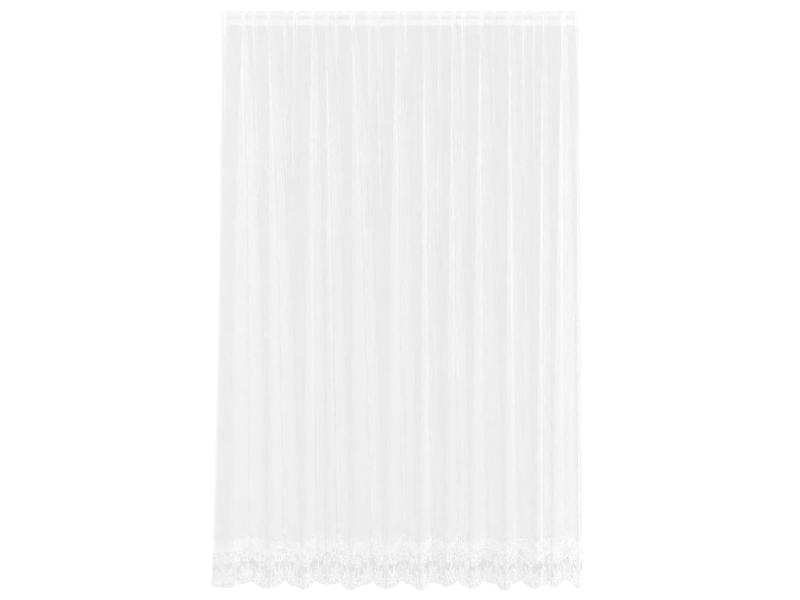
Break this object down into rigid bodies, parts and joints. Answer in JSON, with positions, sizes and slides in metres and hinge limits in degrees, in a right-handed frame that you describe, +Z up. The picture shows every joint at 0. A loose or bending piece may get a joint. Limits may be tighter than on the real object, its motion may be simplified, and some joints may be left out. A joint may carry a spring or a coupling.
{
  "type": "sheer voile curtain",
  "caption": "Sheer white voile curtain gathered in pinched pleats on a heading tape, with a floral lace edge along its scalloped hem.",
  "frame": {"origin": "the middle of the top edge, in the mid-plane of the folds, where the curtain is held", "axes": "+Z up along the drop, +X along the gathered width, -Y out of the front; the heading tape is on the +Y side"},
  "size_m": [1.6108, 0.1338, 2.5],
  "materials": {
    "voile": "fine plain weave, see-through, matt with a soft bloom on the folds",
    "tape": "woven gathering tape, two dense bands with a see-through band between them",
    "lace": "dense satin-like embroidery with openwork between flowers and leaves"
  },
  "bodies": {
    "root": {"voile_panel": "voile", "heading_tape": "tape", "lace_border": "lace"}
  },
  "joints": []
}
